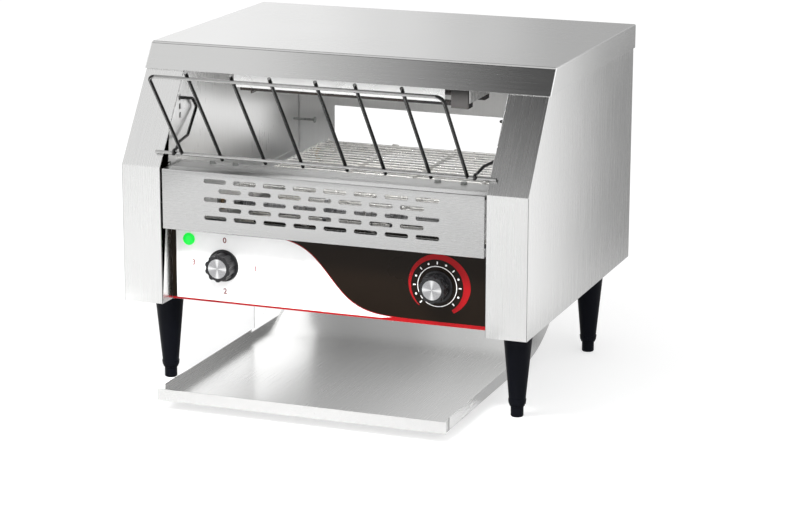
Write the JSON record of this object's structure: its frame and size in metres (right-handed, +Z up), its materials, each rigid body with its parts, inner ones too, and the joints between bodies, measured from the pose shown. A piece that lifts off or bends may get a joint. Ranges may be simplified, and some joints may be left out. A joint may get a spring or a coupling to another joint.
{
  "type": "conveyor toaster",
  "caption": "Countertop conveyor toaster: folded stainless casing on tapered legs, wire loading rack in front, wire belt between heaters, toast slide underneath, knobs in front.",
  "frame": {"origin": "centre of the footprint box (rack tip to gland tip) on the surface the feet stand on", "axes": "+Z up, +X to the right seen from the front, +Y from the loading side to the back"},
  "size_m": [0.48, 0.4951, 0.385],
  "materials": {
    "brushed_stainless": "fine brushed",
    "polished_stainless": "bright, nearly mirror",
    "galvanised_sheet": "dull zinc",
    "plated_wire": "bright nickel plate",
    "belt_wire": "heat-tinted",
    "machined_steel": "turned",
    "bearing_bronze": "satin",
    "heater_sheath": "oxidised",
    "steatite": "matte",
    "dark_ceramic": "matte",
    "printed_film": "semi-gloss print",
    "black_phenolic": "satin moulded",
    "leg_plastic": "satin moulded",
    "spun_aluminium": "spun rings",
    "switch_body": "matte",
    "green_lens": "clear ribbed",
    "zinc_fixings": "zinc plate",
    "motor_enamel": "satin",
    "terminal_nylon": "matte"
  },
  "bodies": {
    "casing": {"apron": "polished_stainless", "apron_screws": "zinc_fixings", "base_plate": "galvanised_sheet", "chamber_pin": "zinc_fixings", "chamber_wall_left": "polished_stainless", "chamber_wall_right": "polished_stainless", "control_overlay": "printed_film", "control_panel": "galvanised_sheet", "cord_gland": "black_phenolic", "drive_motor": "motor_enamel", "element_hanger": "polished_stainless", "function_switch": "switch_body", "gearbox": "spun_aluminium", "heater_hood": "polished_stainless", "lamp_body": "switch_body", "lamp_lens": "green_lens", "leg_nuts": "zinc_fixings", "legs": "leg_plastic", "lower_elements": "heater_sheath", "lower_end_blocks": "steatite", "lower_reflector": "polished_stainless", "rear_deflector": "brushed_stainless", "rear_panel": "brushed_stainless", "rear_screws": "zinc_fixings", "shaft_bushes": "bearing_bronze", "side_casing_left": "brushed_stainless", "side_casing_right": "brushed_stainless", "side_rail_left": "polished_stainless", "side_rail_right": "polished_stainless", "slide_rails": "galvanised_sheet", "speed_regulator": "switch_body", "terminal_block": "terminal_nylon", "top_cover": "brushed_stainless", "upper_elements": "heater_sheath", "upper_end_blocks": "dark_ceramic", "vent_panel": "brushed_stainless"},
    "function_knob": {"function_knob": "black_phenolic", "function_knob_cap": "spun_aluminium", "function_spindle": "machined_steel"},
    "speed_knob": {"speed_knob": "black_phenolic", "speed_knob_cap": "spun_aluminium", "speed_spindle": "machined_steel"},
    "loading_rack": {"bread_rack": "plated_wire", "rack_stays": "plated_wire"},
    "toast_slide": {"toast_slide": "brushed_stainless"},
    "rear_drive": {"rear_shaft": "machined_steel", "rear_sprockets": "machined_steel", "belt_rear_wrap": "belt_wire", "drive_coupling": "machined_steel", "gearbox_shaft": "machined_steel"},
    "front_idler": {"front_shaft": "machined_steel", "front_sprockets": "machined_steel", "belt_front_wrap": "belt_wire"},
    "belt_upper": {"belt_upper_run": "belt_wire"},
    "belt_lower": {"belt_lower_run": "belt_wire"},
    "foot_front_left": {"foot_front_left": "leg_plastic"},
    "foot_front_right": {"foot_front_right": "leg_plastic"},
    "foot_back_left": {"foot_back_left": "leg_plastic"},
    "foot_back_right": {"foot_back_right": "leg_plastic"}
  },
  "joints": [
    {"name": "function_knob_turn", "type": "hinge", "parent": "casing", "child": "function_knob", "pos_m": [-0.127, -0.16675, 0.147], "axis": [0, -1, 0], "range_deg": [-270, 0]},
    {"name": "speed_knob_turn", "type": "hinge", "parent": "casing", "child": "speed_knob", "pos_m": [0.127, -0.16675, 0.147], "axis": [0, -1, 0], "range_deg": [-135, 135]},
    {"name": "rack_tilt", "type": "hinge", "parent": "casing", "child": "loading_rack", "pos_m": [0, -0.11825, 0.3285], "axis": [-1, 0, 0], "range_deg": [0, 60]},
    {"name": "toast_slide_pull", "type": "slide", "parent": "casing", "child": "toast_slide", "axis": [0, -1, 0], "range_m": [0, 0.16]},
    {"name": "rear_shaft_turn", "type": "hinge", "parent": "casing", "child": "rear_drive", "pos_m": [0, 0.18425, 0.2068], "axis": [-1, 0, 0], "range_deg": [0, 45]},
    {"name": "front_shaft_turn", "type": "hinge", "parent": "casing", "child": "front_idler", "pos_m": [0, -0.09515, 0.2068], "axis": [-1, 0, 0], "range_deg": [0, 45]},
    {"name": "belt_upper_travel", "type": "slide", "parent": "casing", "child": "belt_upper", "axis": [0, 1, 0], "range_m": [0, 0.0127]},
    {"name": "belt_lower_travel", "type": "slide", "parent": "casing", "child": "belt_lower", "axis": [0, -1, 0], "range_m": [0, 0.0127]},
    {"name": "foot_front_left_screw", "type": "hinge", "parent": "casing", "child": "foot_front_left", "pos_m": [-0.21, -0.11575, 0.006], "axis": [0, 0, 1], "continuous": true},
    {"name": "foot_front_right_screw", "type": "hinge", "parent": "casing", "child": "foot_front_right", "pos_m": [0.21, -0.11575, 0.006], "axis": [0, 0, 1], "continuous": true},
    {"name": "foot_back_left_screw", "type": "hinge", "parent": "casing", "child": "foot_back_left", "pos_m": [-0.21, 0.15575, 0.006], "axis": [0, 0, 1], "continuous": true},
    {"name": "foot_back_right_screw", "type": "hinge", "parent": "casing", "child": "foot_back_right", "pos_m": [0.21, 0.15575, 0.006], "axis": [0, 0, 1], "continuous": true}
  ],
  "couplings": [
    {"joint": "rear_shaft_turn", "follows": "belt_upper_travel", "rad_per_m": 61.84},
    {"joint": "front_shaft_turn", "follows": "belt_upper_travel", "rad_per_m": 61.84},
    {"joint": "belt_lower_travel", "follows": "belt_upper_travel", "ratio": 1}
  ]
}
